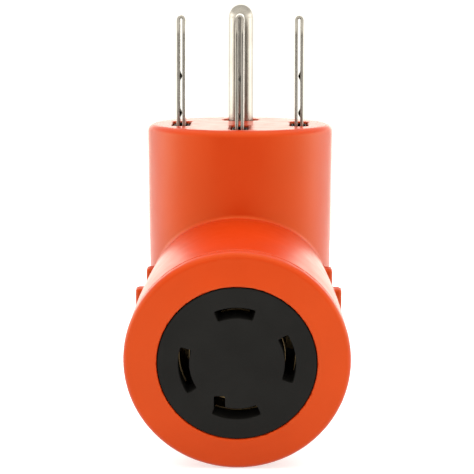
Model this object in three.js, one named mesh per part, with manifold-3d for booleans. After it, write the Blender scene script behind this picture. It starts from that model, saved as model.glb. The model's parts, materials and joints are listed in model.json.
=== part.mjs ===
// Moulded elbow power adapter: a four-prong plug whose elbow turns to a round four-slot locking socket.
// Millimetres, +Z up. The origin is the centre of the plug face, the prongs point up (+Z),
// and the socket looks forward (-Y) and slightly down.
import * as THREE from 'three';
import { mergeVertices } from 'three/addons/utils/BufferGeometryUtils.js';
import Module from 'manifold-3d';

const wasm = await Module();
wasm.setup();

// ---- driving dimensions ----
const gap = 0.3;                 // clearance left between pieces that touch
const past = 1;                  // how far a cutting tool runs past the face it opens

// plug end, along +Z
const plugFaceRadius = 21.95;
const plugDraft = 0.0156;        // radius lost per millimetre below the face
const plugEdge = 1.7;            // rounding of the face's rim
const faceWall = 2.6;
const plugCavityRadius = 18.6;
const hotSpacing = 28;
const neutralY = -11.1;
const groundY = 12.7;
const bladeWidth = 12.5;
const bladeWall = 0.72;
const bladeThickness = 2.05;
const bladeTipCorner = 4.6;
const bladeFoot = 1.2;           // the folded walls start this far above the crimp barrel
const neckHeight = 3;            // solid tab joining the walls to the crimp barrel
const hotLength = 26;
const neutralLength = 26.7;
const groundLength = 27.8;
const groundRadius = 2.97;
const pocketWidth = 4.3;
const pocketLength = 14.8;
const pocketCorner = 1.6;
const groundPocketMargin = 1.3;  // ring left open around the round pin
const padDrop = 0.4;             // the black pads lie this far under the plug face

// elbow and socket end; s runs from the socket face back along the barrel
const socketReach = 54;
const socketDrop = 50.45;
const socketTilt = THREE.MathUtils.degToRad(11.8);
const rimRadius = 25.98;
const rimEdge = 1.1;
const rimLand = 18.8;            // the rim's front is level out to this radius, then slopes back
const rimSlope = 1.1;            // how far it has sloped back where the edge rounding starts
const rimDepth = 3.8;
const grooveDepth = 0.4;
const barrelRadius = (s) => 26.1 - 0.055 * s - 0.001 * s * s;
const barrelCavityRadius = 18.3;
const elbowCavityRadius = 17;
const cavityNeck = 40;

// grip bars on both flanks
const gripStations = [32.7, 47.7];
const gripHeight = 0.85;
const gripRoot = 3;              // how far each bar reaches into the wall
const gripWidth = 3.2;
const gripHalfLength = 7.3;
const gripCorner = 0.8;

// locking socket insert
const faceRadius = barrelCavityRadius - gap;
const facePlate = 6;
const carrierRadius = 17.6;
const carrierLength = 16;
const coverThickness = 2.6;
const slotOuter = 13.4;
const slotWidth = 2.5;
const hookReach = 7.9;           // the ground slot's hook ends this far from the axis
const hookOverlap = 0.2;         // the hook starts this far inside the arc
const chamberMargin = 1.4;       // room around each contact inside the carrier
const faceEdge = 0.5;
const screwX = 6.4;
const screwRadius = 1.2;
const screwHeadRadius = 2.7;
const screwHead = 1.7;
const screwEdge = 0.5;
const screwReach = 9;            // into the carrier, to the screw's tip

// slots of the locking face: centre angle and half width in degrees, counted anticlockwise from +X
const slots = {
  neutral: { middle: 92.2, half: 20.8 },
  x: { middle: 187.8, half: 24.8 },
  ground: { middle: 269.2, half: 24.8, hook: true },
  y: { middle: 5.6, half: 25.8 },
};

// conductors
const crimpOuter = 2.3;
const crimpInner = 1.7;
const coreRadius = 1.35;
const insulationOuter = 2.3;
const insulationInner = 1.7;
const crimpTop = -10;
const crimpBottom = -19.5;
const crimpDepth = 7.5;          // bore of a crimp barrel, from its open end
const leafThickness = 0.5;
const leafBite = 0.15;           // each leaf springs this far into the slot's width
const contactFloor = 0.8;
const contactEndGap = 0.73;      // the leaves stop this far short of the slot's ends
const contactTail = 2.2;         // crimp barrel showing behind the rear cover

// ---- materials ----
function material(color, roughness, metalness) {
  return new THREE.MeshStandardMaterial({ color, roughness, metalness });
}
const orangePvc = material(0xda4416, 0.35, 0);
const blackPlastic = material(0x292826, 0.5, 0);
const darkPlastic = material(0x1a1a1a, 0.6, 0);
const nickel = material(0xcfcac0, 0.22, 1);
const brass = material(0xc2a15a, 0.3, 1);
const copper = material(0xb87045, 0.4, 1);
const steel = material(0x8d9094, 0.35, 1);
const wireColors = {
  x: material(0x1b1b1b, 0.5, 0),
  y: material(0xa31d1a, 0.5, 0),
  neutral: material(0xe6e3da, 0.5, 0),
  ground: material(0x1f7a3a, 0.5, 0),
};

// ---- solids: every boolean goes through these ----
function solid(geometry, matrix) {
  const plain = geometry.index ? geometry.toNonIndexed() : geometry.clone();
  plain.deleteAttribute('normal');
  plain.deleteAttribute('uv');
  if (matrix) {
    plain.applyMatrix4(matrix);
  }
  const merged = mergeVertices(plain, 1e-4);
  return new wasm.Manifold(new wasm.Mesh({
    numProp: 3,
    vertProperties: Float32Array.from(merged.attributes.position.array),
    triVerts: Uint32Array.from(merged.index.array),
  }));
}

function geometryOf(body) {
  const mesh = body.getMesh();
  const geometry = new THREE.BufferGeometry();
  geometry.setAttribute('position', new THREE.BufferAttribute(mesh.vertProperties, 3));
  geometry.setIndex(new THREE.BufferAttribute(mesh.triVerts, 1));
  geometry.computeVertexNormals();
  return geometry;
}

// a lathe about Z; points are [radius, z] from the lowest to the highest, starting and ending on the axis
function turned(points, segments) {
  const geometry = new THREE.LatheGeometry(points.map(([r, z]) => new THREE.Vector2(r, z)), segments);
  return geometry.rotateX(Math.PI / 2);
}

// an outline in the XY plane, extruded from z = low to z = high
function plate(shape, low, high, curveSegments = 8) {
  const geometry = new THREE.ExtrudeGeometry(shape, {
    depth: high - low, bevelEnabled: false, curveSegments,
  });
  return geometry.translate(0, 0, low);
}

function rod(radius, low, high, x, y, segments = 12) {
  return plate(circle(radius), low, high, segments / 2).translate(x, y, 0);
}

function circle(radius) {
  return new THREE.Shape().absarc(0, 0, radius, 0, 2 * Math.PI, false);
}

function roundedRectangle(width, length, corner) {
  const w = width / 2;
  const l = length / 2;
  const shape = new THREE.Shape();
  shape.moveTo(w, -l + corner);
  shape.lineTo(w, l - corner);
  shape.absarc(w - corner, l - corner, corner, 0, Math.PI / 2, false);
  shape.absarc(-w + corner, l - corner, corner, Math.PI / 2, Math.PI, false);
  shape.absarc(-w + corner, -l + corner, corner, Math.PI, 1.5 * Math.PI, false);
  shape.absarc(w - corner, -l + corner, corner, 1.5 * Math.PI, 2 * Math.PI, false);
  return shape;
}

function at(x, y, z) {
  return new THREE.Matrix4().makeTranslation(x, y, z);
}

// a ring segment between two radii; angles in radians
function arcShape(inner, outer, middle, half) {
  const shape = new THREE.Shape();
  shape.absarc(0, 0, outer, middle - half, middle + half, false);
  shape.absarc(0, 0, inner, middle + half, middle - half, true);
  shape.closePath();
  return shape;
}

// ---- places ----
// the socket's own frame: z = 0 is the socket face, +z looks out of it, +y is up across the face
const socketPlace = new THREE.Matrix4().makeRotationX(Math.PI / 2 + socketTilt);
socketPlace.setPosition(0, -socketReach, -socketDrop);
const elbowCentreZ = -socketDrop + socketReach * Math.tan(socketTilt);
const barrelLength = socketReach / Math.cos(socketTilt);
const prongs = {
  x: { x: -hotSpacing / 2, y: 0, length: hotLength },
  y: { x: hotSpacing / 2, y: 0, length: hotLength },
  neutral: { x: 0, y: neutralY, length: neutralLength },
};

// ---- housing ----
function plugOuter() {
  const bottom = plugFaceRadius + plugDraft * elbowCentreZ;
  const points = [];
  for (let i = 0; i <= 8; i += 1) {
    const angle = (i / 8) * (Math.PI / 2);
    points.push([bottom * Math.sin(angle), elbowCentreZ - bottom * Math.cos(angle)]);
  }
  for (let i = 0; i <= 4; i += 1) {
    const angle = (i / 4) * (Math.PI / 2);
    const radius = plugFaceRadius - plugEdge + plugEdge * Math.cos(angle);
    points.push([radius, -plugEdge + plugEdge * Math.sin(angle)]);
  }
  points.push([0, 0]);
  points[0][0] = 0;
  return solid(turned(points, 44));
}

function barrelOuter() {
  const points = [[0, -barrelLength]];
  for (let i = 0; i <= 6; i += 1) {
    const s = barrelLength + (rimDepth + grooveDepth - barrelLength) * (i / 6);
    points.push([barrelRadius(s), -s]);
  }
  points.push([rimRadius - grooveDepth, -rimDepth]);
  points.push([rimRadius, -rimDepth + grooveDepth]);
  for (let i = 0; i <= 3; i += 1) {
    const angle = (i / 3) * (Math.PI / 2);
    const radius = rimRadius - rimEdge + rimEdge * Math.cos(angle);
    points.push([radius, -rimSlope - rimEdge + rimEdge * Math.sin(angle)]);
  }
  points.push([rimLand, 0]);
  points.push([0, 0]);
  return solid(turned(points, 44), socketPlace);
}

function gripBar(station, side) {
  const outer = barrelRadius(station) + gripHeight;
  const depth = gripHeight + gripRoot;
  const bar = roundedRectangle(depth, 2 * gripHalfLength, gripCorner);
  const geometry = plate(bar, -station - gripWidth / 2, -station + gripWidth / 2, 3);
  geometry.translate(side * (outer - depth / 2), 0, 0);
  return solid(geometry, socketPlace);
}

function plugCavity() {
  const points = [];
  for (let i = 0; i <= 6; i += 1) {
    const angle = (i / 6) * (Math.PI / 2);
    points.push([plugCavityRadius * Math.sin(angle), elbowCentreZ - plugCavityRadius * Math.cos(angle)]);
  }
  points[0][0] = 0;
  points.push([plugCavityRadius, -faceWall]);
  points.push([0, -faceWall]);
  return solid(turned(points, 28));
}

function barrelCavity() {
  const points = [
    [0, -barrelLength],
    [elbowCavityRadius, -barrelLength],
    [barrelCavityRadius, -cavityNeck],
    [barrelCavityRadius, past],
    [0, past],
  ];
  return solid(turned(points, 36), socketPlace);
}

function pocketShape(inset) {
  return roundedRectangle(pocketWidth - 2 * inset, pocketLength - 2 * inset, pocketCorner - inset);
}

function groundPocket(inset) {
  return groundRadius + groundPocketMargin - inset;
}

function housing() {
  let body = plugOuter().add(barrelOuter());
  for (const station of gripStations) {
    for (const side of [-1, 1]) {
      body = body.add(gripBar(station, side));
    }
  }
  body = body.subtract(plugCavity()).subtract(barrelCavity());
  for (const prong of Object.values(prongs)) {
    body = body.subtract(solid(plate(pocketShape(0), -faceWall - past, past, 3), at(prong.x, prong.y, 0)));
  }
  return body.subtract(solid(rod(groundPocket(0), -faceWall - past, past, 0, groundY)));
}

// ---- prongs ----
// a solid barrel that grips the wire core, hollow from below
function crimpBarrel(x, y) {
  const tube = solid(rod(crimpOuter, crimpBottom, crimpTop, x, y));
  return tube.subtract(solid(rod(crimpInner, crimpBottom - past, crimpBottom + crimpDepth, x, y)));
}

// a strip folded over at the tip: two flat walls with air between them
function foldedBlade({ x, y, length }) {
  const half = bladeThickness / 2;
  const inside = half - bladeWall;
  const foot = crimpTop + bladeFoot;
  const profile = new THREE.Shape();
  profile.moveTo(half, foot);
  profile.lineTo(half, length - half);
  profile.absarc(0, length - half, half, 0, Math.PI, false);
  profile.lineTo(-half, foot);
  profile.lineTo(-inside, foot);
  profile.lineTo(-inside, length - half);
  profile.absarc(0, length - half, inside, Math.PI, 0, true);
  profile.lineTo(inside, foot);
  profile.closePath();
  const along = { depth: bladeWidth, bevelEnabled: false, curveSegments: 6 };
  const strip = new THREE.ExtrudeGeometry(profile, along);
  strip.rotateX(Math.PI / 2).translate(0, bladeWidth / 2, 0);

  const outline = new THREE.Shape();
  const edge = bladeWidth / 2;
  outline.moveTo(edge, foot - past);
  outline.lineTo(edge, length - bladeTipCorner);
  const cornerX = edge - bladeTipCorner;
  const cornerZ = length - bladeTipCorner;
  outline.absarc(cornerX, cornerZ, bladeTipCorner, 0, Math.PI / 2, false);
  outline.absarc(-cornerX, cornerZ, bladeTipCorner, Math.PI / 2, Math.PI, false);
  outline.lineTo(-edge, foot - past);
  outline.closePath();
  const depth = 2 * bladeThickness;
  const cutter = new THREE.ExtrudeGeometry(outline, { depth, bevelEnabled: false, curveSegments: 6 });
  cutter.rotateX(Math.PI / 2).rotateZ(Math.PI / 2).translate(-bladeThickness, 0, 0);

  const neck = new THREE.BoxGeometry(bladeThickness, 2 * crimpOuter, neckHeight);
  neck.translate(0, 0, crimpTop - past + neckHeight / 2);
  const blade = solid(strip).intersect(solid(cutter)).add(solid(neck));
  return blade.translate([x, y, 0]).add(crimpBarrel(x, y));
}

function groundPin() {
  const shoulder = groundLength - groundRadius;
  const points = [[0, crimpTop - past], [groundRadius, crimpTop - past]];
  for (let i = 0; i <= 6; i += 1) {
    const angle = (i / 6) * (Math.PI / 2);
    points.push([groundRadius * Math.cos(angle), shoulder + groundRadius * Math.sin(angle)]);
  }
  points[points.length - 1][0] = 0;
  return solid(turned(points, 28), at(0, groundY, 0)).add(crimpBarrel(0, groundY));
}

// ---- blade bridge and its back plate ----
const bridgeTop = -faceWall - gap;
const bridgeBottom = crimpTop + 1;
const backPlateTop = crimpTop - past - gap;
const backPlateThickness = 2.5;
const backPlateBottom = backPlateTop - backPlateThickness;
const bladeHoleCorner = 0.4;

function bladeHole(x, y) {
  const shape = roundedRectangle(bladeThickness + 2 * gap, bladeWidth + 2 * gap, bladeHoleCorner);
  return solid(plate(shape, bridgeBottom - past, past, 2), at(x, y, 0));
}

function bladeBridge() {
  let body = solid(rod(plugCavityRadius - gap, bridgeBottom, bridgeTop, 0, 0, 28));
  for (const { x, y } of Object.values(prongs)) {
    body = body.add(solid(plate(pocketShape(gap), bridgeTop - past, -padDrop, 3), at(x, y, 0)));
  }
  body = body.add(solid(rod(groundPocket(gap), bridgeTop - past, -padDrop, 0, groundY)));
  for (const { x, y } of Object.values(prongs)) {
    body = body.subtract(bladeHole(x, y));
  }
  return body.subtract(solid(rod(groundRadius + gap, bridgeBottom - past, past, 0, groundY)));
}

function bridgeBackPlate() {
  let body = solid(rod(plugCavityRadius - gap, backPlateBottom, backPlateTop, 0, 0, 28));
  for (const { x, y } of [...Object.values(prongs), { x: 0, y: groundY }]) {
    body = body.subtract(solid(rod(crimpOuter + gap, backPlateBottom - past, backPlateTop + past, x, y)));
  }
  return body;
}

// ---- locking socket insert, in the socket's own frame ----
const slotInner = slotOuter - slotWidth;
const slotMiddle = (slotOuter + slotInner) / 2;
const carrierFront = -facePlate - gap;
const carrierBack = carrierFront - carrierLength;
const coverFront = carrierBack - gap;
const coverBack = coverFront - coverThickness;
const contactEnd = coverBack - contactTail;

function radians({ middle, half }) {
  return [THREE.MathUtils.degToRad(middle), THREE.MathUtils.degToRad(half)];
}

// the ground slot's inward hook, a short radial leg at the end of the arc nearest -X
function hookShape(grow) {
  const [middle, half] = radians(slots.ground);
  const x = slotMiddle * Math.cos(middle - half) + slotWidth / 2;
  const w = slotWidth / 2 + grow;
  const low = -slotInner - hookOverlap;
  const high = -hookReach + grow;
  const shape = new THREE.Shape();
  shape.moveTo(x + w, low);
  shape.lineTo(x + w, high);
  shape.lineTo(x - w, high);
  shape.lineTo(x - w, low);
  shape.closePath();
  return shape;
}

function slotSolid(slot, grow, low, high) {
  const [middle, half] = radians(slot);
  const extra = grow / slotMiddle;
  const arc = arcShape(slotInner - grow, slotOuter + grow, middle, half + extra);
  const body = solid(plate(arc, low, high, 6));
  return slot.hook ? body.add(solid(plate(hookShape(grow), low, high))) : body;
}

function receptacleFace() {
  const points = [
    [0, -facePlate],
    [faceRadius, -facePlate],
    [faceRadius, -faceEdge],
    [faceRadius - faceEdge, 0],
    [0, 0],
  ];
  let body = solid(turned(points, 44));
  for (const slot of Object.values(slots)) {
    body = body.subtract(slotSolid(slot, 0, -facePlate - past, past));
  }
  return body;
}

function contactCarrier() {
  let body = solid(rod(carrierRadius, carrierBack, carrierFront, 0, 0, 36));
  for (const slot of Object.values(slots)) {
    const plainSlot = { ...slot, hook: false };
    const chamber = slotSolid(plainSlot, chamberMargin, carrierBack - past, carrierFront + past);
    body = body.subtract(chamber);
  }
  for (const x of [-screwX, screwX]) {
    const hole = rod(screwRadius + gap, carrierBack - past, carrierBack + screwReach + past, x, 0);
    body = body.subtract(solid(hole));
  }
  return body;
}

function carrierCover() {
  let body = solid(rod(carrierRadius, coverBack, coverFront, 0, 0, 36));
  for (const slot of Object.values(slots)) {
    const [middle] = radians(slot);
    const x = slotMiddle * Math.cos(middle);
    const y = slotMiddle * Math.sin(middle);
    body = body.subtract(solid(rod(crimpOuter + gap, coverBack - past, coverFront + past, x, y)));
  }
  for (const x of [-screwX, screwX]) {
    body = body.subtract(solid(rod(screwRadius + gap, coverBack - past, coverFront + past, x, 0)));
  }
  return body;
}

// two curved leaves joined by a floor, with a crimp barrel behind
function socketContact(slot) {
  const [middle, half] = radians(slot);
  const low = carrierBack + gap;
  const high = carrierFront - gap;
  const grip = half - contactEndGap / slotMiddle;
  const inner = slotInner + leafBite - leafThickness;
  const outer = slotOuter - leafBite + leafThickness;
  let body = solid(plate(arcShape(inner, inner + leafThickness, middle, grip), low, high, 5));
  body = body.add(solid(plate(arcShape(outer - leafThickness, outer, middle, grip), low, high, 5)));
  body = body.add(solid(plate(arcShape(inner, outer, middle, grip), low, low + contactFloor, 5)));
  const x = slotMiddle * Math.cos(middle);
  const y = slotMiddle * Math.sin(middle);
  const barrel = solid(rod(crimpOuter, contactEnd, low + contactFloor / 2, x, y));
  return body.add(barrel).subtract(solid(rod(crimpInner, contactEnd - past, low - contactFloor, x, y)));
}

function coverScrew(x) {
  const under = coverBack - gap;
  const head = under - screwHead;
  const tip = carrierBack + screwReach;
  const points = [
    [0, head],
    [screwHeadRadius - screwEdge, head],
    [screwHeadRadius, head + screwEdge],
    [screwHeadRadius, under],
    [screwRadius, under],
    [screwRadius, tip - screwRadius],
    [0, tip],
  ];
  return solid(turned(points, 16), at(x, 0, 0));
}

// ---- wires, from each prong's crimp barrel to its contact ----
const wireStart = crimpBottom - gap;
const wireEnd = contactEnd - gap;
const coreInset = 4.5;           // bare core inside a crimp barrel

function socketPoint(x, y, z) {
  return new THREE.Vector3(x, y, z).applyMatrix4(socketPlace);
}

// drop and run set how far the wire goes straight on from the prong and from the contact
function wireCurve(start, slot, drop, run) {
  const [middle] = radians(slot);
  const x = slotMiddle * Math.cos(middle);
  const y = slotMiddle * Math.sin(middle);
  return {
    bend: new THREE.CubicBezierCurve3(
      new THREE.Vector3(start.x, start.y, wireStart),
      new THREE.Vector3(start.x, start.y, wireStart - drop),
      socketPoint(x, y, wireEnd - run),
      socketPoint(x, y, wireEnd),
    ),
    head: new THREE.Vector3(start.x, start.y, wireStart + coreInset),
    tail: socketPoint(x, y, wireEnd + coreInset),
  };
}

const wireRoutes = {
  x: wireCurve(prongs.x, slots.x, 16, 15),
  y: wireCurve(prongs.y, slots.y, 16, 15),
  neutral: wireCurve(prongs.neutral, slots.neutral, 7, 7.5),
  ground: wireCurve({ x: 0, y: groundY }, slots.ground, 28, 20),
};

function insulation({ bend }) {
  const ring = circle(insulationOuter);
  ring.holes.push(new THREE.Path().absarc(0, 0, insulationInner, 0, 2 * Math.PI, true));
  return new THREE.ExtrudeGeometry(ring, {
    steps: 12, extrudePath: bend, bevelEnabled: false, curveSegments: 4,
  });
}

function wireCore({ bend, head, tail }) {
  const path = new THREE.CurvePath();
  path.add(new THREE.LineCurve3(head, bend.v0));
  path.add(bend);
  path.add(new THREE.LineCurve3(bend.v3, tail));
  return new THREE.ExtrudeGeometry(circle(coreRadius), {
    steps: 16, extrudePath: path, bevelEnabled: false, curveSegments: 4,
  });
}

// ---- assembly ----
const adapter = new THREE.Group();
const socketGroup = new THREE.Group();
socketGroup.rotation.x = Math.PI / 2 + socketTilt;
socketGroup.position.set(0, -socketReach, -socketDrop);
adapter.add(socketGroup);

function place(group, name, geometry, finish) {
  const mesh = new THREE.Mesh(geometry, finish);
  mesh.name = name;
  group.add(mesh);
}

place(adapter, 'housing', geometryOf(housing()), orangePvc);
place(adapter, 'blade_bridge', geometryOf(bladeBridge()), blackPlastic);
place(adapter, 'bridge_back_plate', geometryOf(bridgeBackPlate()), darkPlastic);
place(adapter, 'hot_blade_x', geometryOf(foldedBlade(prongs.x)), nickel);
place(adapter, 'hot_blade_y', geometryOf(foldedBlade(prongs.y)), nickel);
place(adapter, 'neutral_blade', geometryOf(foldedBlade(prongs.neutral)), nickel);
place(adapter, 'ground_pin', geometryOf(groundPin()), nickel);
place(socketGroup, 'receptacle_face', geometryOf(receptacleFace()), blackPlastic);
place(socketGroup, 'contact_carrier', geometryOf(contactCarrier()), darkPlastic);
place(socketGroup, 'carrier_rear_cover', geometryOf(carrierCover()), darkPlastic);
place(socketGroup, 'cover_screw_left', geometryOf(coverScrew(-screwX)), steel);
place(socketGroup, 'cover_screw_right', geometryOf(coverScrew(screwX)), steel);
for (const [name, slot] of Object.entries(slots)) {
  place(socketGroup, `contact_${name}`, geometryOf(socketContact(slot)), brass);
}
for (const [name, route] of Object.entries(wireRoutes)) {
  place(adapter, `wire_insulation_${name}`, insulation(route), wireColors[name]);
  place(adapter, `wire_core_${name}`, wireCore(route), copper);
}

export default adapter;
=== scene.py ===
"""Looks of the moulded elbow power adapter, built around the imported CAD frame."""
import json
import math

import bpy
import numpy as np
from mathutils import Matrix, Vector


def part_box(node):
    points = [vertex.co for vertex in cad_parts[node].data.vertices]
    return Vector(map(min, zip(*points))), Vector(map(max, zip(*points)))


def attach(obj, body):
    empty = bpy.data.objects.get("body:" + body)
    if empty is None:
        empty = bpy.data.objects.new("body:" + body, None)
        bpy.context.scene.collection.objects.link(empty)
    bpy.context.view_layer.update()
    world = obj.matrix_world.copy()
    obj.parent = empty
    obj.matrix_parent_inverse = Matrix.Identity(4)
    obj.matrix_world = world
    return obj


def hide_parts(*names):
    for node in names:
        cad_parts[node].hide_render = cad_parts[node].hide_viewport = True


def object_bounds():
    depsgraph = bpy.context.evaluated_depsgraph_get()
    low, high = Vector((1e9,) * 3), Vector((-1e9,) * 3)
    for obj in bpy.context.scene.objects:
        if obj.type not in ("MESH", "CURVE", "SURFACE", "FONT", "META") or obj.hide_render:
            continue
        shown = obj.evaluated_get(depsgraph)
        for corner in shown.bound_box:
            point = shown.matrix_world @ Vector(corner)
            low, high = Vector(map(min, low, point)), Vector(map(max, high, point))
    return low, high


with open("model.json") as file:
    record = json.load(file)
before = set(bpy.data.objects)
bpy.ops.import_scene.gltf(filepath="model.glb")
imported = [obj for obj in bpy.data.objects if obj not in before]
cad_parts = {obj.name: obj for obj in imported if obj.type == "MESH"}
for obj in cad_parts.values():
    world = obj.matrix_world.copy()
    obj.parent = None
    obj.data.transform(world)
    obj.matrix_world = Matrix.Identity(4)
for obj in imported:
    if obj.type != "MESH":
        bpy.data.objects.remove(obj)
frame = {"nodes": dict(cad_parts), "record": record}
cad_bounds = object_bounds()

# Lengths below are in millimetres. SCALE turns them into the scene's metres.
SCALE = 0.001

# plug end, along +Z, its face at z = 0
PLUG_RADIUS, PLUG_DRAFT, PLUG_EDGE = 21.95, 0.0156, 1.7
PLUG_CAVITY = 18.6
FACE_WALL = 2.6
POCKET_WIDTH, POCKET_LENGTH, POCKET_CORNER = 4.3, 14.8, 1.6
PIN_RING = 1.3  # left open around the pin in its pocket
PAD_DROP = 0.4
GAP = 0.3

# prongs
BLADE_WIDTH, BLADE_WALL, BLADE_THICKNESS, BLADE_CORNER = 12.5, 0.72, 2.05, 4.6
STRIP_EDGE = 0.2
DIMPLE_HEIGHTS, DIMPLE_RADIUS, DIMPLE_DEPTH = (11.4, 2.6), 1.3, 0.5
PIN_RADIUS, PIN_STEP = 2.97, 0.07

# crimp barrels under the prongs
CRIMP_TOP, CRIMP_BOTTOM = -10.0, -19.5
CRIMP_OUTER, CRIMP_INNER, CRIMP_EDGE = 2.3, 1.7, 0.25
CRIMP_ROOF = 2.0

# socket end: s runs back from the socket face along the barrel
RIM_RADIUS, RIM_EDGE, RIM_DEPTH = 25.98, 1.1, 3.8
RIM_LAND, RIM_SLOPE = 18.8, 1.1  # the rim's front is level out to this radius, then slopes back this far
GROOVE_DEPTH, GROOVE_OFFSET, GROOVE_SPREAD = 0.34, 0.25, 0.28
BARREL_RADIUS, BARREL_TAPER, BARREL_CURVE = 26.1, 0.055, 0.001
BARREL_CAVITY, ELBOW_CAVITY, CAVITY_NECK = 18.3, 17.0, 40.0
BARREL_END_EDGE = 8.0
FLARE_SCALE = 0.994  # turns distance out from the axis into distance from the flared wall
FACE_PLATE = 6.0
SLOT_OUTER, SLOT_WIDTH, SLOT_CORNER = 13.4, 2.5, 0.35
HOOK_REACH = 7.9
GRIP_STATIONS = (32.7, 47.7)
GRIP_HEIGHT, GRIP_WIDTH, GRIP_HALF, GRIP_ROOT, GRIP_CORNER = 0.85, 3.2, 7.3, 3.0, 0.75

# roundings where surfaces meet: the fillet grows from FLUSH_FILLET by up to CORNER_FILLET
FLUSH_FILLET, CORNER_FILLET, GRIP_FILLET = 0.4, 0.6, 0.35
CAVITY_EDGE, CAVITY_TOP_EDGE, BORE_END_EDGE = 0.3, 0.6, 2.0
BRIDGE_EDGE, PAD_EDGE, BLADE_HOLE_CORNER, BLADE_HOLE_EDGE = 0.4, 0.35, 0.4, 0.2
FACE_EDGE, SLOT_EDGE = 0.3, 0.22

# locking slots: middle angle and half width in degrees, anticlockwise from +X as one looks at the face
SLOTS = {
    "neutral": (92.2, 20.8),
    "x": (187.8, 24.8),
    "ground": (269.2, 24.8),
    "y": (5.6, 25.8),
}

# mesh fineness
WALL_STEPS, FOLD_STEPS, WIDTH_STEPS = 86, 15, 27
EDGE_TURNS = (60, 30, 0, -30, -60)
PIN_SIDES, CRIMP_SIDES = 64, 32
GRID_MARGIN = 1.0
RELAX_PASSES = (0.5, 0.5, 0.0)
SETTLE_STEPS = 3
FAR = 1e3  # beyond any distance here
TINY = 1e-6

# studio, in metres and watts: a light tent whose brightness goes from the front (-1) over the sides (0)
# to the back (+1)
TENT_DEPTHS = (
    (-1.0, 0.12),
    (-0.94, 0.16),
    (-0.7, 1.35),
    (-0.4, 2.1),
    (0.22, 3.7),
    (0.67, 1.9),
    (0.9, 1.3),
    (1.0, 3.0),
)
TENT_BRIGHTEST = 3.7
TENT_COLOUR = (1.0, 0.965, 0.88)
BAND_FALL, BAND_EDGES = 0.1, (0.16, 0.42)  # the tent's walls fall to BAND_FALL above and below these heights
HOOD_FRONT, HOOD_BACK, HOOD_DEPTHS = 1.2, 0.8, (-0.4, 0.2)
HOOD_EDGES = (0.03, 0.42)
BACKDROP = 1.2
FLOOR_RADIUS, FLOOR_SIDES, FLOOR_DROP = 0.45, 96, 0.0002
FLOOR_WHITE = 0.5
FLOOR_GLOW = 0.6
AREA_LIGHTS = (
    # name, place, target, size, power
    ("overhead", (0, 0.1, 1.3), (0, 0, -0.03), (2.2, 2.2), 42),
    ("front_fill", (0, -1.35, 0.35), (0, 0, -0.05), (1.6, 0.8), 11),
)

# camera, in metres and degrees, its lens and sensor in millimetres
CAMERA_DISTANCE, CAMERA_HEIGHT = 1.0, 0.0788
CAMERA_AZIMUTH, CAMERA_YAW, CAMERA_PITCH, CAMERA_ROLL = 0.65, 0.04, 6.05, 0.12
CAMERA_LENS, CAMERA_SENSOR, CAMERA_REACH = 319.2, 36.0, 50

# ---- places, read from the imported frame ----
mounts = {m["name"]: m for m in frame["record"]["mounts"]}
socket_centre = np.array(mounts["socket_face"]["pos_m"]) / SCALE
socket_out = np.array(mounts["socket_face"]["axis"])
socket_up = np.cross(socket_out, (1.0, 0.0, 0.0))
TILT = math.asin(-socket_out[2])
BARREL_LENGTH = -socket_centre[1] / math.cos(TILT)
ELBOW_Z = socket_centre[2] - socket_centre[1] * math.tan(TILT)


def centre_and_top(node):
    """The middle and the highest corner of a node's box, in millimetres."""
    low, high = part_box(node)
    return np.array((low + high) / 2) / SCALE, np.array(high) / SCALE


PRONGS = {}
for prong_node in ("hot_blade_x", "hot_blade_y", "neutral_blade", "ground_pin"):
    centre, top = centre_and_top(prong_node)
    PRONGS[prong_node] = (centre[0], centre[1], top[2])


# ---- distance functions: negative inside, positive outside, in millimetres ----
def join(a, b, radius):
    """Union whose inside corner is rounded by radius, a number or an array."""
    u = np.maximum(radius - a, 0)
    v = np.maximum(radius - b, 0)
    return np.maximum(radius, np.minimum(a, b)) - np.sqrt(u * u + v * v)


def meet(a, b, radius):
    """Intersection whose outside corner is rounded by radius."""
    return -join(-a, -b, radius)


def cut(a, b, radius):
    """a with b removed, the edge rounded by radius."""
    return meet(a, -b, radius)


def to_socket(p):
    """Coordinates in the socket's own frame: across, up the face, out of the face."""
    q = p - socket_centre
    return q[..., 0], q @ socket_up, q @ socket_out


def rounded_box_2d(x, y, half_x, half_y, corner):
    """Distance in plan to a rectangle with round corners."""
    dx = np.abs(x) - (half_x - corner)
    dy = np.abs(y) - (half_y - corner)
    outside = np.hypot(np.maximum(dx, 0), np.maximum(dy, 0))
    return outside + np.minimum(np.maximum(dx, dy), 0) - corner


def barrel_radius(s):
    """The flared wall's radius at s."""
    return BARREL_RADIUS - BARREL_TAPER * s - BARREL_CURVE * s * s


def plug_body(p):
    """The slightly tapered round plug, ending in a ball at the elbow."""
    x, y, z = p[..., 0], p[..., 1], p[..., 2]
    around = np.hypot(x, y)
    bottom = PLUG_RADIUS + PLUG_DRAFT * ELBOW_Z
    side = np.where(
        z > ELBOW_Z,
        around - (PLUG_RADIUS + PLUG_DRAFT * z),
        np.hypot(around, z - ELBOW_Z) - bottom,
    )
    return meet(side, z, PLUG_EDGE)


def barrel_body(x, y, out):
    """The flared barrel, its rim and the fine groove behind the rim."""
    s = -out
    around = np.hypot(x, y)
    wall = barrel_radius(np.clip(s, RIM_DEPTH, BARREL_LENGTH))
    profile = np.where(s < RIM_DEPTH, RIM_RADIUS, wall)
    groove = GROOVE_DEPTH * np.exp(-(((s - RIM_DEPTH - GROOVE_OFFSET) / GROOVE_SPREAD) ** 2))
    side = FLARE_SCALE * (around - profile + groove)
    slope = RIM_SLOPE / (RIM_RADIUS - RIM_EDGE - RIM_LAND)
    front = slope * np.maximum(around - RIM_LAND, 0) - s
    body = meet(side, front, RIM_EDGE)
    return meet(body, s - BARREL_LENGTH, BARREL_END_EDGE)


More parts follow.
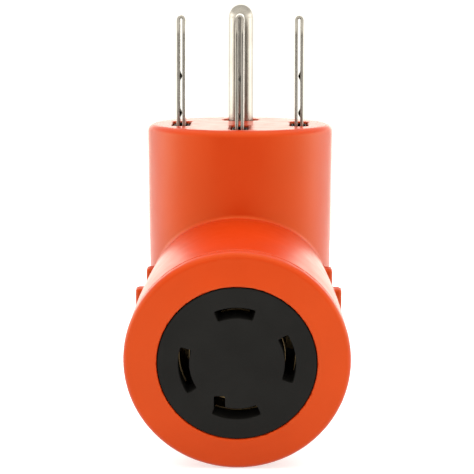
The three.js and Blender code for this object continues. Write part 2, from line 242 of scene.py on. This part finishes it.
def grip_bars(x, y, out):
    """Two raised bars on each flank of the barrel."""
    bars = np.full(x.shape, FAR)
    for station in GRIP_STATIONS:
        outer = barrel_radius(station) + GRIP_HEIGHT
        dx = np.abs(np.abs(x) - (outer - GRIP_ROOT / 2)) - (GRIP_ROOT / 2 - GRIP_CORNER)
        dy = np.abs(y) - (GRIP_HALF - GRIP_CORNER)
        ds = np.abs(-out - station) - (GRIP_WIDTH / 2 - GRIP_CORNER)
        outside = np.sqrt(np.maximum(dx, 0) ** 2 + np.maximum(dy, 0) ** 2 + np.maximum(ds, 0) ** 2)
        inside = np.minimum(np.maximum(np.maximum(dx, dy), ds), 0)
        bars = np.minimum(bars, outside + inside - GRIP_CORNER)
    return bars


def pocket_columns(x, y, inset):
    """Distance in plan to the nearest of the four pockets in the plug face, drawn in by inset."""
    nearest = np.full(x.shape, FAR)
    for node, (px, py, _) in PRONGS.items():
        if node == "ground_pin":
            column = np.hypot(x - px, y - py) - (PIN_RADIUS + PIN_RING - inset)
        else:
            half_w, half_l = POCKET_WIDTH / 2 - inset, POCKET_LENGTH / 2 - inset
            column = rounded_box_2d(x - px, y - py, half_w, half_l, POCKET_CORNER - inset)
        nearest = np.minimum(nearest, column)
    return nearest


def housing_shape(p):
    """The orange moulding: plug, barrel and grip bars, hollow inside, with the pockets cut through."""
    x, y, z = p[..., 0], p[..., 1], p[..., 2]
    across, up, out = to_socket(p)
    plug = plug_body(p)
    barrel = barrel_body(across, up, out)
    # the fillet is largest where the two tubes meet at an angle and smallest where they run flush
    around_plug = np.maximum(np.hypot(x, y), TINY)
    around_barrel = np.maximum(np.hypot(across, up), TINY)
    facing = (x * across + y * up * socket_up[1]) / (around_plug * around_barrel)
    fillet = FLUSH_FILLET + CORNER_FILLET * np.clip(1 - facing, 0, 1)
    body = join(plug, barrel, fillet)
    body = join(body, grip_bars(across, up, out), GRIP_FILLET)

    around = np.hypot(x, y)
    plug_cavity = np.where(z > ELBOW_Z, around, np.hypot(around, z - ELBOW_Z)) - PLUG_CAVITY
    plug_cavity = meet(plug_cavity, z + FACE_WALL, CAVITY_TOP_EDGE)
    s = -out
    neck = np.interp(s, (CAVITY_NECK, BARREL_LENGTH), (BARREL_CAVITY, ELBOW_CAVITY))
    bore = meet(around_barrel - neck, s - BARREL_LENGTH, BORE_END_EDGE)
    body = cut(body, plug_cavity, CAVITY_EDGE)
    body = cut(body, bore, CAVITY_EDGE)
    # the pockets end 1 mm below the face's wall, inside the cavity
    pockets = np.maximum(pocket_columns(x, y, 0), -z - FACE_WALL - 1)
    return cut(body, pockets, CAVITY_EDGE)


def bridge_shape(p):
    """The black block under the plug face, with a pad in each pocket and a hole for each prong."""
    x, y, z = p[..., 0], p[..., 1], p[..., 2]
    top = -FACE_WALL - GAP
    bottom = CRIMP_TOP + 1
    disc = meet(np.hypot(x, y) - (PLUG_CAVITY - GAP), np.maximum(z - top, bottom - z), BRIDGE_EDGE)
    pads = meet(pocket_columns(x, y, GAP), np.maximum(z + PAD_DROP, bottom - z), PAD_EDGE)
    body = np.minimum(disc, pads)
    for node, (px, py, _) in PRONGS.items():
        if node == "ground_pin":
            hole = np.hypot(x - px, y - py) - (PIN_RADIUS + GAP)
        else:
            half_w, half_l = BLADE_THICKNESS / 2 + GAP, BLADE_WIDTH / 2 + GAP
            hole = rounded_box_2d(x - px, y - py, half_w, half_l, BLADE_HOLE_CORNER)
        body = cut(body, hole, BLADE_HOLE_EDGE)
    return body


def receptacle_shape(p):
    """The black disc with four curved slots, one of them with an inward leg."""
    across, up, out = to_socket(p)
    around = np.hypot(across, up)
    body = meet(around - (BARREL_CAVITY - GAP / 2), np.maximum(out, -FACE_PLATE - out), FACE_EDGE)
    ring = SLOT_OUTER - SLOT_WIDTH / 2
    angle = np.arctan2(up, across)
    for name, (centre_degrees, half_degrees) in SLOTS.items():
        centre, half = math.radians(centre_degrees), math.radians(half_degrees)
        turn = np.abs((angle - centre + math.pi) % (2 * math.pi) - math.pi)
        arc = meet(np.abs(around - ring) - SLOT_WIDTH / 2, (turn - half) * ring, SLOT_CORNER)
        if name == "ground":
            hook_x = ring * math.cos(centre - half) + SLOT_WIDTH / 2
            hook_mid = -(HOOK_REACH + ring) / 2
            reach = (ring - HOOK_REACH) / 2
            leg = rounded_box_2d(across - hook_x, up - hook_mid, SLOT_WIDTH / 2, reach, SLOT_CORNER)
            arc = np.minimum(arc, leg)
        body = cut(body, arc, SLOT_EDGE)
    return body


# ---- meshes ----
def sampled(distance, low, counts, step):
    """The distance at every corner of a grid of cubic cells, worked out one sheet at a time."""
    lines = [low[k] + step * np.arange(counts[k]) for k in range(3)]
    value = np.empty(counts)
    for i in range(counts[0]):
        sheet = np.stack(np.meshgrid(lines[0][i : i + 1], lines[1], lines[2], indexing="ij"), -1)
        value[i] = distance(sheet)[0]
    return value


def crossed_cells(inside):
    """The cells that the surface passes through, and a grid that holds each one's number."""
    cells = np.array(inside.shape) - 1
    filled = np.zeros(cells, np.int8)
    for corner in np.ndindex(2, 2, 2):
        window = tuple(slice(corner[k], corner[k] + cells[k]) for k in range(3))
        filled += inside[window]
    active = np.argwhere((filled > 0) & (filled < 8))
    number = np.full(cells, -1)
    number[tuple(active.T)] = np.arange(len(active))
    return active, number


def cell_points(value, active, low, step):
    """One point to a cell: the mean of the places where the surface crosses the cell's edges."""
    total = np.zeros((len(active), 3))
    hits = np.zeros(len(active))
    for axis in range(3):
        u, v = (axis + 1) % 3, (axis + 2) % 3
        for du, dv in ((0, 0), (0, 1), (1, 0), (1, 1)):
            start = active.copy()
            start[:, u] += du
            start[:, v] += dv
            end = start.copy()
            end[:, axis] += 1
            a, b = value[tuple(start.T)], value[tuple(end.T)]
            crossed = (a < 0) != (b < 0)
            share = np.where(crossed, a / np.where(crossed, a - b, 1), 0)
            place = start.astype(float)
            place[:, axis] += share
            total += place * crossed[:, None]
            hits += crossed
    return low + step * total / hits[:, None]


def cell_quads(inside, number):
    """One quad around each grid edge that the surface crosses, facing outwards."""
    faces = []
    for axis in range(3):
        u, v = (axis + 1) % 3, (axis + 2) % 3
        lower = np.take(inside, range(inside.shape[axis] - 1), axis)
        upper = np.take(inside, range(1, inside.shape[axis]), axis)
        edge = np.argwhere(lower != upper)
        leaving = lower[tuple(edge.T)]
        ring = []
        for du, dv in ((-1, -1), (0, -1), (0, 0), (-1, 0)):
            cell = edge.copy()
            cell[:, u] += du
            cell[:, v] += dv
            ring.append(number[tuple(cell.T)])
        quad = np.stack(ring, 1)
        quad[~leaving] = quad[~leaving][:, ::-1]
        faces.append(quad)
    return np.concatenate(faces)


def settled(distance, points, faces, step):
    """The points moved onto the surface and evened out along it."""
    ends = np.concatenate([faces[:, [k, (k + 1) % 4]] for k in range(4)])
    degree = np.bincount(ends[:, 0], minlength=len(points))[:, None]
    for relax in RELAX_PASSES:
        for _ in range(SETTLE_STEPS):
            slope = gradient(distance, points, step * 0.05)
            length = np.maximum((slope**2).sum(-1, keepdims=True), 0.05)
            move = distance(points)[:, None] * slope / length
            points = points - np.clip(move, -step / 2, step / 2)
        if relax:
            mean = np.zeros_like(points)
            for k in range(3):
                mean[:, k] = np.bincount(ends[:, 0], points[ends[:, 1], k], len(points))
            points = points + relax * (mean / degree - points)
    return points


def level_surface(distance, low, high, step):
    """Vertices, faces and normals of the closed surface where distance is zero, one vertex to a cell."""
    counts = np.ceil((high - low) / step).astype(int) + 1
    value = sampled(distance, low, counts, step)
    inside = value < 0
    active, number = crossed_cells(inside)
    points = cell_points(value, active, low, step)
    faces = cell_quads(inside, number)
    points = settled(distance, points, faces, step)
    normals = gradient(distance, points, step * 0.1)
    normals /= np.maximum(np.linalg.norm(normals, axis=1, keepdims=True), 1e-9)
    return points, faces, normals


def gradient(distance, points, reach):
    """The slope of distance at each point, from samples reach to either side."""
    slope = np.empty_like(points)
    for k in range(3):
        shift = np.zeros(3)
        shift[k] = reach
        slope[:, k] = (distance(points + shift) - distance(points - shift)) / (2 * reach)
    return slope


def new_piece(name, points, faces, normals=None):
    """A smooth-shaded mesh object from points in millimetres."""
    mesh = bpy.data.meshes.new(name)
    mesh.from_pydata((np.asarray(points) * SCALE).tolist(), [], np.asarray(faces, dtype=object).tolist())
    mesh.shade_smooth()
    if normals is not None:
        mesh.normals_split_custom_set_from_vertices(normals.tolist())
    piece = bpy.data.objects.new(name, mesh)
    bpy.context.scene.collection.objects.link(piece)
    return piece


def solid_piece(name, distance, node, step):
    """The mesh object of a distance function, sampled over a node's box."""
    low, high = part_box(node)
    low, high = np.array(low) / SCALE - GRID_MARGIN, np.array(high) / SCALE + GRID_MARGIN
    points, faces, normals = level_surface(distance, low, high, step)
    return new_piece(name, points, faces, normals)


def turned_mesh(profile, sides):
    """Points and faces of a closed turning about the Z axis; profile runs from axis to axis."""
    points, faces = [], []
    inner = profile[1:-1]
    for radius, z in inner:
        for k in range(sides):
            angle = 2 * math.pi * k / sides
            points.append((radius * math.cos(angle), radius * math.sin(angle), z))
    for j in range(len(inner) - 1):
        for k in range(sides):
            after = (k + 1) % sides
            faces.append([j * sides + k, j * sides + after, (j + 1) * sides + after, (j + 1) * sides + k])
    for row, (_, z), flip in ((0, profile[0], True), (len(inner) - 1, profile[-1], False)):
        hub = len(points)
        points.append((0.0, 0.0, z))
        for k in range(sides):
            pair = [row * sides + k, row * sides + (k + 1) % sides]
            faces.append([hub] + (pair[::-1] if flip else pair))
    return points, faces


def merge(*parts):
    """Several closed shapes as one list of points and faces."""
    points, faces = [], []
    for some_points, some_faces in parts:
        offset = len(points)
        points += [tuple(p) for p in some_points]
        faces += [[offset + k for k in face] for face in some_faces]
    return points, faces


def crimp_profile():
    """The hollow crimp barrel under a prong, open below."""
    return [
        (0, CRIMP_TOP - CRIMP_ROOF),
        (CRIMP_INNER, CRIMP_TOP - CRIMP_ROOF),
        (CRIMP_INNER, CRIMP_BOTTOM + CRIMP_EDGE),
        (CRIMP_INNER + CRIMP_EDGE, CRIMP_BOTTOM),
        (CRIMP_OUTER - CRIMP_EDGE, CRIMP_BOTTOM),
        (CRIMP_OUTER, CRIMP_BOTTOM + CRIMP_EDGE),
        (CRIMP_OUTER, CRIMP_TOP - CRIMP_EDGE),
        (CRIMP_OUTER - CRIMP_EDGE, CRIMP_TOP),
        (0, CRIMP_TOP),
    ]


def strip_path(length):
    """Centre line of the folded strip: x offset, height, and the direction of its outer side."""
    radius = (BLADE_THICKNESS - BLADE_WALL) / 2
    top = length - BLADE_THICKNESS / 2
    foot = CRIMP_TOP + 0.6
    straight = np.linspace(foot, top, WALL_STEPS)
    path = [(radius, z, 0.0) for z in straight[:-1]]
    for angle in np.linspace(0, math.pi, FOLD_STEPS):
        path.append((radius * math.cos(angle), top + radius * math.sin(angle), angle))
    path += [(-radius, z, math.pi) for z in straight[::-1][1:]]
    return path


def dimple_depth(across, height):
    """How far a wall is pressed inwards at its two round dimples."""
    depth = 0.0
    for centre in DIMPLE_HEIGHTS:
        away = math.hypot(across, height - centre) / DIMPLE_RADIUS
        if away < 1:
            depth += DIMPLE_DEPTH * (0.5 + 0.5 * math.cos(math.pi * away))
    return depth


def strip_section(half_width):
    """The strip's section: a flat bar with round edges, as points across it and out of it."""
    half_wall = BLADE_WALL / 2
    flat = half_width - STRIP_EDGE
    shares = np.linspace(-1, 1, WIDTH_STEPS)
    section = [(share * flat, half_wall) for share in shares]
    for turn in EDGE_TURNS:
        bend = math.radians(turn)
        rise = (half_wall - STRIP_EDGE) * np.sign(turn) + STRIP_EDGE * math.sin(bend)
        section.append((flat + STRIP_EDGE * math.cos(bend), rise))
    section += [(share * flat, -half_wall) for share in shares[::-1]]
    for turn in EDGE_TURNS[::-1]:
        bend = math.radians(turn)
        rise = (half_wall - STRIP_EDGE) * np.sign(turn) + STRIP_EDGE * math.sin(bend)
        section.append((-(flat + STRIP_EDGE * math.cos(bend)), rise))
    return section


def folded_blade(length, dimpled):
    """A strip swept up one wall, over the fold and down the other; dimpled is the wall's side, +1 or -1."""
    path = strip_path(length)
    points, faces = [], []
    for x, z, angle in path:
        beyond = max(0.0, z - (length - BLADE_CORNER))
        half_width = BLADE_WIDTH / 2 - BLADE_CORNER + math.sqrt(max(BLADE_CORNER**2 - beyond**2, 0.0))
        outward = (math.cos(angle), math.sin(angle))
        side = 1 if angle < math.pi / 2 else -1
        for across, rise in strip_section(half_width):
            if side == dimpled:
                rise -= dimple_depth(across, z)
            points.append((x + outward[0] * rise, across, z + outward[1] * rise))
    size = 2 * (WIDTH_STEPS + len(EDGE_TURNS))
    for j in range(len(path) - 1):
        for k in range(size):
            after = (k + 1) % size
            faces.append([j * size + k, (j + 1) * size + k, (j + 1) * size + after, j * size + after])
    faces.append(list(range(size)))
    faces.append(list(range((len(path) - 1) * size, len(path) * size))[::-1])
    return points, faces


def neck_block():
    """The tab between a blade's two walls and its crimp barrel."""
    half_x, half_y = BLADE_THICKNESS / 2, CRIMP_OUTER
    low, high = CRIMP_TOP - 0.5, CRIMP_TOP + 2
    plan = ((-half_x, -half_y), (half_x, -half_y), (half_x, half_y), (-half_x, half_y))
    corners = [(x, y, z) for z in (low, high) for x, y in plan]
    faces = [[3, 2, 1, 0], [4, 5, 6, 7]]
    faces += [[k, (k + 1) % 4, (k + 1) % 4 + 4, k + 4] for k in range(4)]
    return corners, faces


def ground_pin(length):
    """A round pin with a fine step under its rounded tip."""
    dome = PIN_RADIUS - PIN_STEP
    shoulder = length - dome
    profile = [(0, CRIMP_TOP - 1), (PIN_RADIUS - 0.3, CRIMP_TOP - 1), (PIN_RADIUS, CRIMP_TOP - 0.7)]
    profile += [(PIN_RADIUS, z) for z in np.linspace(CRIMP_TOP, shoulder - 0.25, 12)]
    profile += [(PIN_RADIUS - 0.03, shoulder - 0.08), (dome, shoulder)]
    for angle in np.linspace(0, math.pi / 2, 16)[1:-1]:
        profile.append((dome * math.cos(angle), shoulder + dome * math.sin(angle)))
    profile.append((0, length))
    return turned_mesh(profile, PIN_SIDES)


# ---- materials ----
def new_material(name):
    """A material, its node tree and its shader."""
    material = bpy.data.materials.new(name)
    material.use_nodes = True
    tree = material.node_tree
    shader = tree.nodes["Principled BSDF"]
    return material, tree, shader


def noise(tree, scale, detail):
    """Noise in the object's own coordinates; scale counts features per metre."""
    place = tree.nodes.new("ShaderNodeTexCoord")
    node = tree.nodes.new("ShaderNodeTexNoise")
    node.inputs["Scale"].default_value = scale
    node.inputs["Detail"].default_value = detail
    tree.links.new(place.outputs["Object"], node.inputs["Vector"])
    return node.outputs["Fac"]


def ranged(tree, source, low, high, from_low=0.3, from_high=0.7):
    """source carried from one range to another, and held at its ends."""
    node = tree.nodes.new("ShaderNodeMapRange")
    node.inputs["From Min"].default_value = from_low
    node.inputs["From Max"].default_value = from_high
    node.inputs["To Min"].default_value = low
    node.inputs["To Max"].default_value = high
    tree.links.new(source, node.inputs["Value"])
    return node.outputs["Result"]


def blended(tree, source, dark, light):
    """A colour that goes from dark to light with source."""
    node = tree.nodes.new("ShaderNodeMix")
    node.data_type = "RGBA"
    node.inputs["A"].default_value = (*dark, 1)
    node.inputs["B"].default_value = (*light, 1)
    tree.links.new(source, node.inputs["Factor"])
    return node.outputs["Result"]


def add_bump(tree, shader, source, distance, strength):
    node = tree.nodes.new("ShaderNodeBump")
    node.inputs["Distance"].default_value = distance
    node.inputs["Strength"].default_value = strength
    tree.links.new(source, node.inputs["Height"])
    tree.links.new(node.outputs["Normal"], shader.inputs["Normal"])


def moulded(name, dark, light, rough, bump_depth, bump_scale, specular=0.5, tint=(1, 1, 1)):
    """Moulded plastic: faint colour drift, uneven gloss and a fine pebbled skin."""
    material, tree, shader = new_material(name)
    drift = noise(tree, 60, 3)
    tree.links.new(blended(tree, ranged(tree, drift, 0, 1), dark, light), shader.inputs["Base Color"])
    gloss = noise(tree, 220, 4)
    tree.links.new(ranged(tree, gloss, rough[0], rough[1]), shader.inputs["Roughness"])
    shader.inputs["Specular IOR Level"].default_value = specular
    shader.inputs["Specular Tint"].default_value = (*tint, 1)
    skin = noise(tree, bump_scale, 2)
    add_bump(tree, shader, skin, bump_depth, 0.5)
    return material


def plated(name, dark, light, rough, line_scale):
    """Rolled or plated metal: bright, with fine drawing lines along Z and slight haze."""
    material, tree, shader = new_material(name)
    shader.inputs["Metallic"].default_value = 1.0
    haze = noise(tree, 300, 3)
    tree.links.new(blended(tree, ranged(tree, haze, 0, 1), dark, light), shader.inputs["Base Color"])
    place = tree.nodes.new("ShaderNodeTexCoord")
    stretch = tree.nodes.new("ShaderNodeMapping")
    stretch.inputs["Scale"].default_value = (line_scale, line_scale, line_scale * 0.02)
    tree.links.new(place.outputs["Object"], stretch.inputs["Vector"])
    lines = tree.nodes.new("ShaderNodeTexNoise")
    lines.inputs["Scale"].default_value = 1.0
    lines.inputs["Detail"].default_value = 3
    tree.links.new(stretch.outputs["Vector"], lines.inputs["Vector"])
    tree.links.new(ranged(tree, lines.outputs["Fac"], rough[0], rough[1]), shader.inputs["Roughness"])
    add_bump(tree, shader, lines.outputs["Fac"], 0.00001, 0.25)
    return material


MATERIALS = {
    "orange_pvc": moulded(
        "orange_pvc",
        dark=(0.335, 0.0195, 0.001),
        light=(0.365, 0.0225, 0.0014),
        rough=(0.28, 0.34),
        bump_depth=0.00002,
        bump_scale=2600,
        tint=(1, 0.68, 0.24),
    ),
    "black_plastic": moulded(
        "black_plastic",
        dark=(0.005, 0.0048, 0.0043),
        light=(0.007, 0.0067, 0.006),
        rough=(0.5, 0.62),
        bump_depth=0.00003,
        bump_scale=4000,
        specular=0.09,
    ),
    "dark_plastic": moulded(
        "dark_plastic",
        dark=(0.006, 0.006, 0.006),
        light=(0.009, 0.009, 0.009),
        rough=(0.5, 0.65),
        bump_depth=0.00003,
        bump_scale=3000,
    ),
    "nickel_plate": plated("nickel_plate", (0.36, 0.34, 0.31), (0.42, 0.40, 0.365), (0.24, 0.34), 6000),
    # contact_brass is made very dark: painted shade for contacts deep in the slots, which keeps their glints
    # faint
    "contact_brass": plated("contact_brass", (0.15, 0.105, 0.05), (0.22, 0.16, 0.08), (0.35, 0.5), 4000),
    "steel": plated("steel", (0.45, 0.45, 0.47), (0.58, 0.58, 0.6), (0.25, 0.4), 3000),
    "copper": plated("copper", (0.6, 0.28, 0.15), (0.76, 0.4, 0.24), (0.25, 0.4), 5000),
}
INSULATION_COLOURS = {
    "insulation_black": ((0.015, 0.015, 0.015), (0.022, 0.022, 0.022)),
    "insulation_red": ((0.42, 0.012, 0.01), (0.5, 0.02, 0.016)),
    "insulation_white": ((0.72, 0.7, 0.64), (0.82, 0.8, 0.75)),
    "insulation_green": ((0.012, 0.2, 0.05), (0.02, 0.27, 0.08)),
}
for insulation, (dark_tone, light_tone) in INSULATION_COLOURS.items():
    MATERIALS[insulation] = moulded(insulation, dark_tone, light_tone, (0.4, 0.5), 0.00002, 2000)


def dress(piece, slot):
    """Give a new piece the material of the record's slot."""
    piece.data.materials.clear()
    piece.data.materials.append(MATERIALS[slot])


def finish_piece(piece, slot, node):
    """Dress a piece, fix it to the one body and let it stand for a CAD node."""
    dress(piece, slot)
    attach(piece, "root")
    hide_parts(node)


# ---- the object ----
MOULDED_PIECES = (
    # name, shape, node, slot, cell size in millimetres
    ("housing_skin", housing_shape, "housing", "orange_pvc", 0.5),
    ("bridge_skin", bridge_shape, "blade_bridge", "black_plastic", 0.36),
    ("face_skin", receptacle_shape, "receptacle_face", "black_plastic", 0.27),
)


def build_moulded_pieces():
    for name, shape, node, slot, cell in MOULDED_PIECES:
        finish_piece(solid_piece(name, shape, node, cell), slot, node)


def build_prongs():
    crimp = turned_mesh(crimp_profile(), CRIMP_SIDES)
    for node, (x, y, top) in PRONGS.items():
        if node == "ground_pin":
            parts = merge(ground_pin(top), crimp)
        else:
            parts = merge(folded_blade(top, -1 if x < 0 else 1), neck_block(), crimp)
        points = np.array(parts[0]) + (x, y, 0)
        piece = new_piece(node + "_metal", points, parts[1])
        finish_piece(piece, "nickel_plate", node)


def dress_inner_nodes():
    """The CAD nodes that nothing replaces keep their shape and get their finished material."""
    slots = {s["node"]: s["material_slot"] for s in frame["record"]["subparts"]}
    for name, node in frame["nodes"].items():
        if node.hide_render:
            continue
        for material_slot in node.material_slots:
            material_slot.material = MATERIALS[slots[name]]


# ---- studio ----
def area_light(name, place, target, size, power):
    """A soft light that is not itself seen in shiny surfaces; the tent does the reflections."""
    light = bpy.data.lights.new(name, "AREA")
    light.shape = "RECTANGLE"
    light.size, light.size_y = size
    light.energy = power
    lamp = bpy.data.objects.new(name, light)
    lamp.location = place
    lamp.rotation_euler = (Vector(target) - Vector(place)).to_track_quat("-Z", "Y").to_euler()
    lamp.visible_glossy = False
    bpy.context.scene.collection.objects.link(lamp)


def build_floor():
    """A round pale table top, lit a little from within, wide enough for its own shadow."""
    low, _ = cad_bounds
    corners = []
    for k in range(FLOOR_SIDES):
        angle = 2 * math.pi * k / FLOOR_SIDES
        corners.append((FLOOR_RADIUS * math.cos(angle), FLOOR_RADIUS * math.sin(angle), 0))
    mesh = bpy.data.meshes.new("floor")
    mesh.from_pydata(corners, [], [tuple(range(FLOOR_SIDES))])
    floor = bpy.data.objects.new("floor", mesh)
    floor.location = (0, 0, low.z - FLOOR_DROP)
    bpy.context.scene.collection.objects.link(floor)
    material, _, shader = new_material("floor_white")
    shader.inputs["Base Color"].default_value = (FLOOR_WHITE, FLOOR_WHITE, FLOOR_WHITE, 1)
    shader.inputs["Roughness"].default_value = 0.9
    shader.inputs["Specular IOR Level"].default_value = 0.1
    shader.inputs["Emission Color"].default_value = (1, 1, 1, 1)
    shader.inputs["Emission Strength"].default_value = FLOOR_GLOW
    mesh.materials.append(material)


def math_node(tree, operation, *values):
    """One arithmetic node; values are sockets or numbers."""
    node = tree.nodes.new("ShaderNodeMath")
    node.operation = operation
    for socket, value in zip(node.inputs, values):
        if isinstance(value, (int, float)):
            socket.default_value = value
        else:
            tree.links.new(value, socket)
    return node.outputs["Value"]


def build_world():
    """A light tent with a hood: dark in front, brightest at both sides and behind; the camera sees white."""
    world = bpy.data.worlds.new("studio")
    bpy.context.scene.world = world
    world.use_nodes = True
    tree = world.node_tree
    background = tree.nodes["Background"]

    direction = tree.nodes.new("ShaderNodeTexCoord")
    parts = tree.nodes.new("ShaderNodeSeparateXYZ")
    tree.links.new(direction.outputs["Generated"], parts.inputs["Vector"])
    ramp = tree.nodes.new("ShaderNodeValToRGB")
    ramp.color_ramp.interpolation = "EASE"
    stops = ramp.color_ramp.elements
    while len(stops) < len(TENT_DEPTHS):
        stops.new(0.5)
    for stop, (depth, brightness) in zip(stops, TENT_DEPTHS):
        stop.position = (depth + 1) / 2
        stop.color = (brightness / TENT_BRIGHTEST,) * 3 + (1,)
    backwards = math_node(tree, "MULTIPLY_ADD", parts.outputs["Y"], 0.5, 0.5)
    tree.links.new(backwards, ramp.inputs["Fac"])

    height = math_node(tree, "ABSOLUTE", parts.outputs["Z"])
    band = ranged(tree, height, 1.0, BAND_FALL, *BAND_EDGES)
    walls = math_node(tree, "MULTIPLY", ramp.outputs["Color"], band)
    walls = math_node(tree, "MULTIPLY", walls, TENT_BRIGHTEST)
    hood = ranged(tree, parts.outputs["Y"], HOOD_FRONT, HOOD_BACK, *HOOD_DEPTHS)
    overhead = ranged(tree, parts.outputs["Z"], 0.0, 1.0, *HOOD_EDGES)
    tent = math_node(tree, "ADD", walls, math_node(tree, "MULTIPLY", hood, overhead))

    path = tree.nodes.new("ShaderNodeLightPath")
    shown = tree.nodes.new("ShaderNodeMix")
    tree.links.new(path.outputs["Is Camera Ray"], shown.inputs["Factor"])
    tree.links.new(tent, shown.inputs["A"])
    shown.inputs["B"].default_value = BACKDROP
    tree.links.new(shown.outputs["Result"], background.inputs["Strength"])
    background.inputs["Color"].default_value = (*TENT_COLOUR, 1)


def build_camera():
    """Long lens, slightly above the plug face and a touch to the right, as for a product shot."""
    azimuth = math.radians(CAMERA_AZIMUTH)
    heading = azimuth + math.radians(CAMERA_YAW)
    data = bpy.data.cameras.new("camera")
    data.lens = CAMERA_LENS
    data.sensor_width = CAMERA_SENSOR
    data.clip_end = CAMERA_REACH
    camera = bpy.data.objects.new("camera", data)
    camera.location = (
        CAMERA_DISTANCE * math.sin(azimuth),
        -CAMERA_DISTANCE * math.cos(azimuth),
        CAMERA_HEIGHT,
    )
    aim = Matrix.Rotation(heading, 3, "Z") @ Matrix.Rotation(math.pi / 2 - math.radians(CAMERA_PITCH), 3, "X")
    camera.rotation_euler = (aim @ Matrix.Rotation(math.radians(CAMERA_ROLL), 3, "Z")).to_euler()
    bpy.context.scene.collection.objects.link(camera)
    bpy.context.scene.camera = camera


build_camera()
build_world()
build_floor()
for area in AREA_LIGHTS:
    area_light(*area)
build_moulded_pieces()
build_prongs()
dress_inner_nodes()
bpy.context.scene.view_settings.view_transform = "Standard"

bpy.context.view_layer.update()
